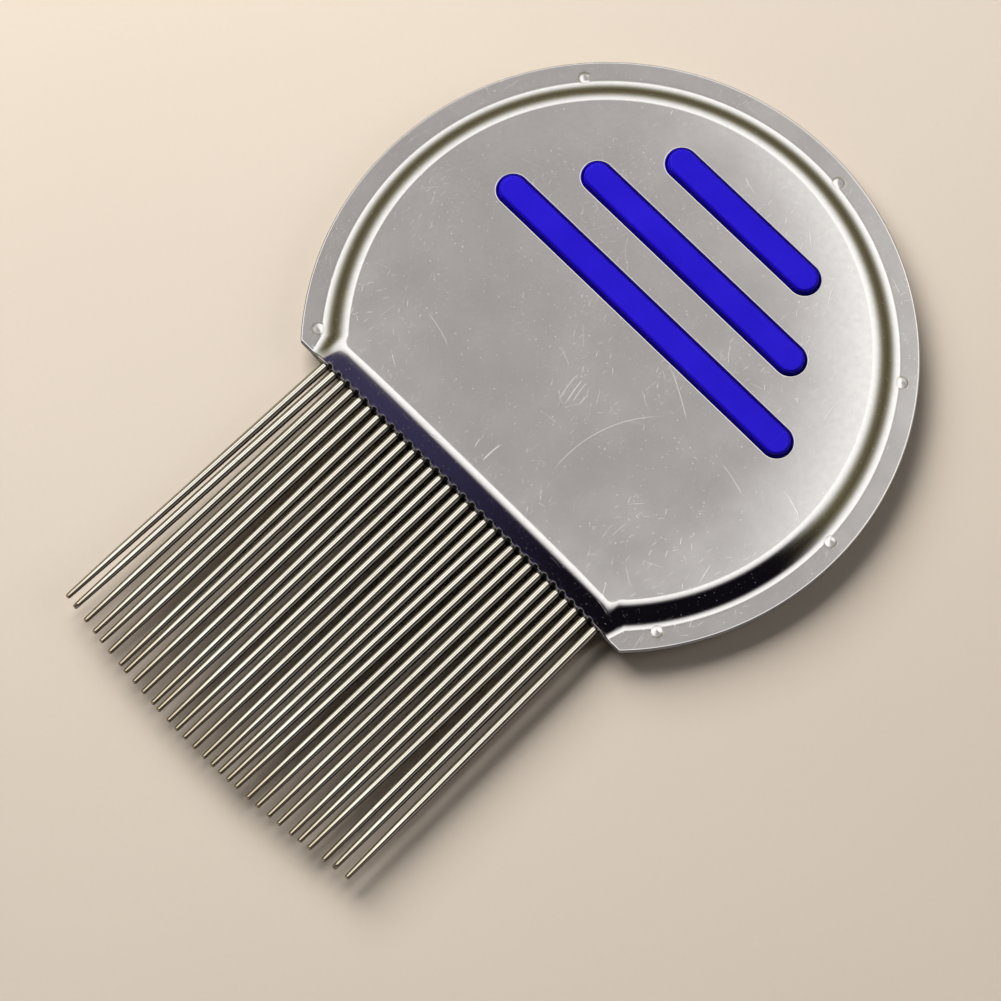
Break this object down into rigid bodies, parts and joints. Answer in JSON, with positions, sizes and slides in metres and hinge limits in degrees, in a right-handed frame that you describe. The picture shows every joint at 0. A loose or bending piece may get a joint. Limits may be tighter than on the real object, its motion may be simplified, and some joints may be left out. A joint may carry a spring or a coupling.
{
  "type": "flea comb",
  "caption": "Palm-held round flea comb: pressed steel shells round a coloured ribbed grip core, with a close row of long straight steel pins along the flat front edge.",
  "frame": {"origin": "centre of the overall box in plan, in the plane that the lower ribs' faces lie in", "axes": "+Y away from the pins, towards the round end; pins point along -Y; +X along the row of pins; +Z through the comb's thickness, out of the front shell"},
  "size_m": [0.064, 0.0916, 0.0053],
  "materials": {
    "shell_steel": "satin stainless sheet, lightly scuffed, with bright rolled bends",
    "pin_steel": "polished nickel-toned wire",
    "grip_plastic": "glossy deep blue moulding",
    "holder_plastic": "plain dark moulding"
  },
  "bodies": {
    "root": {"front_shell": "shell_steel", "back_shell": "shell_steel", "grip_core": "grip_plastic", "pin_holder": "holder_plastic", "pin_01": "pin_steel", "pin_02": "pin_steel", "pin_03": "pin_steel", "pin_04": "pin_steel", "pin_05": "pin_steel", "pin_06": "pin_steel", "pin_07": "pin_steel", "pin_08": "pin_steel", "pin_09": "pin_steel", "pin_10": "pin_steel", "pin_11": "pin_steel", "pin_12": "pin_steel", "pin_13": "pin_steel", "pin_14": "pin_steel", "pin_15": "pin_steel", "pin_16": "pin_steel", "pin_17": "pin_steel", "pin_18": "pin_steel", "pin_19": "pin_steel", "pin_20": "pin_steel", "pin_21": "pin_steel", "pin_22": "pin_steel", "pin_23": "pin_steel", "pin_24": "pin_steel", "pin_25": "pin_steel", "pin_26": "pin_steel", "pin_27": "pin_steel", "pin_28": "pin_steel", "pin_29": "pin_steel", "pin_30": "pin_steel", "pin_31": "pin_steel"}
  },
  "joints": []
}
